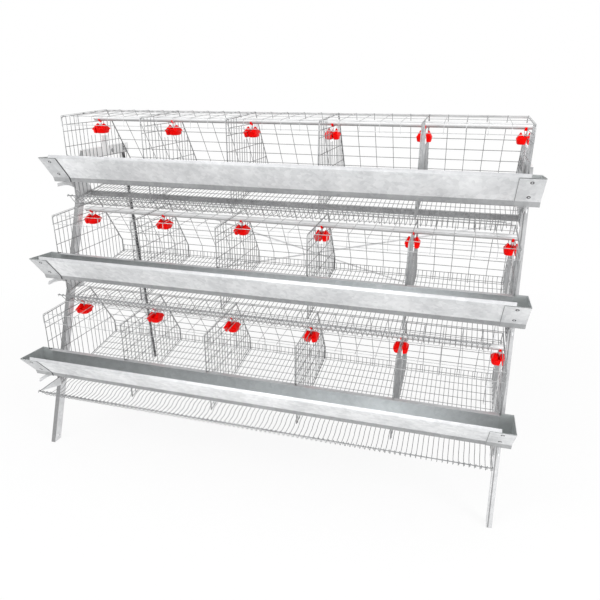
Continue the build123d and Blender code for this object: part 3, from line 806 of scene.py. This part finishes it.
# Water pipes and plugs: satin pale grey plastic pipe that lies on the partitions' top rails, with a plug
# pushed into each end. Painted shade darkens the underside.
def moulded(name, colour, shade, rough, scale):
    """Moulded plastic: slight cloudiness in the colour and a fine skin."""
    material, tree, shader, coords = new_material(name, 0.0)
    cloud = put(tree, "ShaderNodeTexNoise", {"Vector": coords, "Scale": scale, "Detail": 4.0}).outputs["Fac"]
    skin = put(tree, "ShaderNodeTexNoise", {"Vector": coords, "Scale": 900.0, "Detail": 2.0}).outputs["Fac"]
    roughness = ranged(tree, cloud, 0.2, 0.8, rough, rough + 0.15)
    surfaced(tree, shader, cloud, (shade, colour), (0.3, 0.65), roughness, skin, 0.15, 0.0002)
    return material


pipe_grey = moulded("pipe_grey", (0.82, 0.822, 0.825), (0.74, 0.745, 0.75), 0.35, 9.0)
pipe_tree = pipe_grey.node_tree
# painted shade: downward-facing surfaces of the pipes and plugs darkened
tinted(pipe_grey, ranged(pipe_tree, sensed(pipe_tree, "Normal", "Z"), -0.7, 0.3, 0.4, 1.0))
dress(pipe_grey, *[f"water_pipe_{tier}" for tier in tiers], "pipe_plugs")


# Nipple saddles: red plastic clips, moulded in one piece, that grip the pipe from below and have a round boss
# for the nipple.
red_plastic = moulded("red_plastic", (0.98, 0.003, 0.002), (0.84, 0.002, 0.001), 0.35, 40.0)
red_plastic.node_tree.nodes["Principled BSDF"].inputs["Specular IOR Level"].default_value = 0.06
nipple_inset, saddle_width = 9.0, 8.5
clip_inner, clip_outer = 12.7, 15.5
clip_turns = [radians(-165 + 150 * i / 16) for i in range(17)]
boss = [(0, -18.0), (5.0, -18.0), (5.6, -17.2), (6.0, -13.6), (0, -13.6)]


def prism(finish, outline, x0, x1):
    """A side outline in Y and Z, made solid along X, about the origin."""
    return slab(finish, *[[Vector((x, y, z)) / 1000 for y, z in outline] for x in (x0, x1)])


clip = [(clip_outer * cos(t), clip_outer * sin(t)) for t in clip_turns]
clip += [(clip_inner * cos(t), clip_inner * sin(t)) for t in clip_turns[::-1]]
saddle_shapes = [
    prism(red_plastic, clip, -saddle_width / 2, saddle_width / 2), turned(boss, red_plastic, 14),
]
partition_xs = [cell_width * i - cage_half for i in range(6)]
nipple_xs = [x - nipple_inset if x > 0 else x + nipple_inset for x in partition_xs]
tier_step = 1000 * step


def on_every_tier(xs, y, z):
    """A place in the lower tier's section, at these places along every tier."""
    return [at(x, y + k * tier_step.y, z + k * tier_step.z) for k in range(3) for x in xs]


line_spots = on_every_tier(nipple_xs, pipe_y, pipe_z)
saddles = [set_out(shape, line_spots) for shape in saddle_shapes]
fixed(whole("saddle_clips", *saddles), "red_plastic", "nipple_saddles")


# Nipples: turned stainless bodies screwed up into the saddles, each with a loose valve pin that hangs by its
# collar in a chamber and that a hen pushes up with its beak.
turned_steel = zinc("turned_steel", (0.42, 0.42, 0.43), (0.72, 0.72, 0.73), spangle=0.002, rough=(0.18, 0.35))
nipple_sides, pin_sides, machined_angle = 14, 12, 35.0
nipple_section = [
    (2.3, -35.7), (3.6, -35.7), (4.3, -34.6), (4.3, -29.0), (3.7, -28.4), (3.7, -27.4), (4.6, -26.8),
    (4.6, -22.5), (3.9, -21.8), (3.9, -16.0), (2.3, -16.0), (2.3, -24.6), (3.3, -25.0), (3.3, -29.8),
    (2.3, -29.8),
]
pin_profile = [
    (0, 0), (1.2, 0.1), (1.8, 0.7), (1.9, 1.6), (1.9, 14.0), (2.9, 14.2), (3.1, 14.8), (3.1, 16.4), (2.7, 17.0),
    (0, 17.0),
]


def bridged(body, rings):
    """Faces between each ring of points and the next."""
    for low, high in zip(rings, rings[1:]):
        for i in range(len(low)):
            j = (i + 1) % len(low)
            body.faces.new((low[i], low[j], high[j], high[i]))


nipple = bmesh.new()
nipple_turns = [2 * pi * i / nipple_sides for i in range(nipple_sides)]
rings = []
for radius, z in nipple_section:
    rings.append([nipple.verts.new(Vector((radius * cos(t), radius * sin(t), z)) / 1000) for t in nipple_turns])
bridged(nipple, rings + rings[:1])
nipple_shape = closed(nipple, turned_steel, machined_angle)
fixed(whole("nipple_tubes", set_out(nipple_shape, line_spots)), "stainless", "nipple_bodies")
for node in [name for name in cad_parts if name.startswith("nipple_pin_")]:
    low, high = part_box(node)
    pin = turned(pin_profile, turned_steel, pin_sides, machined_angle)
    pin.transform(Matrix.Translation(((low.x + high.x) / 2, (low.y + high.y) / 2, low.z)))
    made = whole(node.replace("nipple_pin", "valve_pin"), pin)
    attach(made, node.replace("nipple_", ""))
    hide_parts(node)


# Drip cups: oval cups moulded in red plastic that hang on a partition's rail, with a lobe on each side of it
# and a bridge over it. A sloping hood rises from each lobe beside the nipple.
cup_half, cup_oval, side_drop = 32.0, 3.4, 9.0
slit, slit_gap, bridge_half = nipple_inset - 1.25, 3.5, 36.0
hood_tip, hood_rise, hood_half, hood_margin = 16.5, 15.0, 32.0, 2.0
cup_levels = [(0.0, 1.0), (-2.0, 1.0), (-3.0, 0.96), (-17.0, 0.88), (-25.0, 0.8), (-28.8, 0.72), (-30.0, 0.6)]
hollow_levels = [(0.0, 0.89), (-2.0, 0.87), (-11.0, 0.78), (-13.0, 0.68)]


def half_depth(x):
    """Half the oval's depth at a place across it."""
    return cup_depth / 2 * max(1 - (abs(x) / cup_half) ** cup_oval, 0.0) ** (1 / cup_oval)


def lobe(x0, x1, count=9):
    """One side of the cup: a closed dish whose mouth is the oval's part between two places."""
    xs = [x0 + (x1 - x0) * (1 - cos(pi * i / count)) / 2 for i in range(count + 1)]
    mouth = [(x, half_depth(x)) for x in xs] + [(x, -half_depth(x)) for x in xs[::-1]]
    mouth = [p for i, p in enumerate(mouth) if hypot(p[0] - mouth[i - 1][0], p[1] - mouth[i - 1][1]) > 0.01]
    middle = (x0 + x1) / 2
    body, rings = bmesh.new(), []
    for z, s in cup_levels[::-1] + hollow_levels:
        ring = []
        for x, y in mouth:
            fall = side_drop * abs(x) / cup_half * (1 + z / cup_height)
            ring.append(body.verts.new(Vector((middle + (x - middle) * s, y * s, z - fall)) / 1000))
        rings.append(ring)
    body.faces.new(rings[0])
    body.faces.new(rings[-1])
    bridged(body, rings)
    return closed(body, red_plastic, 50.0)


def hood(x0, x1, tip):
    """A drip guide: a sloping hood that rises from the cup's floor to a short ridge."""
    body = bmesh.new()
    corners = [(x, y, z) for x in (x0, x1) for y in (-hood_half, hood_half) for z in (-13.0, -9.0)]
    corners += [(tip + x, y, hood_rise) for x in (-2.0, 2.0) for y in (-1.5, 1.5)]
    points = [body.verts.new(Vector(corner) / 1000) for corner in corners]
    bmesh.ops.convex_hull(body, input=points)
    return closed(body, red_plastic)


bridge = [(-bridge_half, -1.8), (bridge_half, -1.8), (bridge_half, 0.8), (-bridge_half, 0.8)]
cup_shapes = [
    lobe(-cup_half, slit - slit_gap / 2), lobe(slit + slit_gap / 2, cup_half),
    prism(red_plastic, bridge, slit - slit_gap, slit + slit_gap),
    hood(hood_margin - cup_half, -hood_margin, -hood_tip),
    hood(slit + slit_gap / 2, cup_half - hood_margin, hood_tip),
]
cup_spots = on_every_tier([x for x in nipple_xs if x > 0], cup_y, cup_rim_z)
cups = [set_out(shape, cup_spots) for shape in cup_shapes]
fixed(whole("moulded_cups", *cups, *[mirrored(part) for part in cups]), "red_plastic", "drip_cups")


# Stage: a pale floor and a plain world. Both look white to the camera and in reflections, and the floor fades
# to that white away from the cage, so that it keeps the cage's soft shadow.
floor_reach = 14.0
floor_mesh = bpy.data.meshes.new("studio_floor")
floor_corners = [(floor_reach * x, floor_reach * y, 0) for x, y in ((-1, -1), (1, -1), (1, 1), (-1, 1))]
floor_mesh.from_pydata(floor_corners, [], [(0, 1, 2, 3)])
floor = bpy.data.objects.new("studio_floor", floor_mesh)
bpy.context.scene.collection.objects.link(floor)


def seen_rays(tree):
    """Rays that show the surroundings: from the camera, off gloss or through glass."""
    rays = put(tree, "ShaderNodeLightPath").outputs
    seen = maths(tree, "MAXIMUM", rays["Is Camera Ray"], rays["Is Glossy Ray"])
    return maths(tree, "MAXIMUM", seen, rays["Is Transmission Ray"])


pale_floor = bpy.data.materials.new("pale_floor")
pale_floor.use_nodes = True
floor_tree = pale_floor.node_tree
floor_tree.nodes.clear()
floor_place = put(floor_tree, "ShaderNodeTexCoord").outputs["Object"]
away = put(floor_tree, "ShaderNodeVectorMath", {0: floor_place}, operation="LENGTH").outputs["Value"]
white = maths(floor_tree, "MULTIPLY", seen_rays(floor_tree), ranged(floor_tree, away, 1.5, 3.0, 0.86, 1.0))
matt = put(floor_tree, "ShaderNodeBsdfDiffuse", {"Color": (0.82, 0.82, 0.82, 1)}).outputs[0]
glow = put(floor_tree, "ShaderNodeEmission", {"Color": (1, 1, 1, 1), "Strength": 1.0}).outputs[0]
mixed = put(floor_tree, "ShaderNodeMixShader", {0: white, 1: matt, 2: glow}).outputs[0]
put(floor_tree, "ShaderNodeOutputMaterial", {"Surface": mixed})
floor_mesh.materials.append(pale_floor)

world = bpy.data.worlds.new("studio")
bpy.context.scene.world = world
world.use_nodes = True
world_tree = world.node_tree
world_tree.nodes.clear()
strength = ranged(world_tree, seen_rays(world_tree), 0.0, 1.0, 0.85, 1.0)
sky = put(world_tree, "ShaderNodeBackground", {"Color": (1, 1, 1, 1), "Strength": strength}).outputs[0]
put(world_tree, "ShaderNodeOutputWorld", {"Surface": sky})


# Lamps and camera: three soft round lamps from the left, the right and the front, and a camera in front of the
# cage, right of its middle and above it, as in the photograph.
def lamp(name, place, aim, size, watts):
    light = bpy.data.lights.new(name, "AREA")
    light.shape = "DISK"
    light.size = size
    light.energy = watts
    holder = bpy.data.objects.new(name, light)
    holder.location = place
    holder.rotation_euler = (Vector(aim) - Vector(place)).to_track_quat("-Z", "Y").to_euler()
    bpy.context.scene.collection.objects.link(holder)


lamp("key", (-2.6, -3.2, 4.2), (0, 0, 0.7), 2.2, 60)
lamp("fill", (4.2, -2.2, 2.2), (0, 0, 0.8), 2.6, 95)
lamp("front", (-0.5, -4.8, 1.0), (0, 0, 0.9), 3.0, 98)

camera = bpy.data.cameras.new("camera")
camera.sensor_width = 36.0
camera.lens = 34.5146
camera.shift_x = 0.01902
camera.shift_y = 0.02619
eye = bpy.data.objects.new("camera", camera)
eye.location = (0.756077, front_rim - 1.828065, 1.594003)
eye.rotation_euler = (radians(90 - 22.1011), 0, radians(16.7759))
bpy.context.scene.collection.objects.link(eye)
bpy.context.scene.camera = eye
bpy.context.scene.view_settings.view_transform = "Standard"
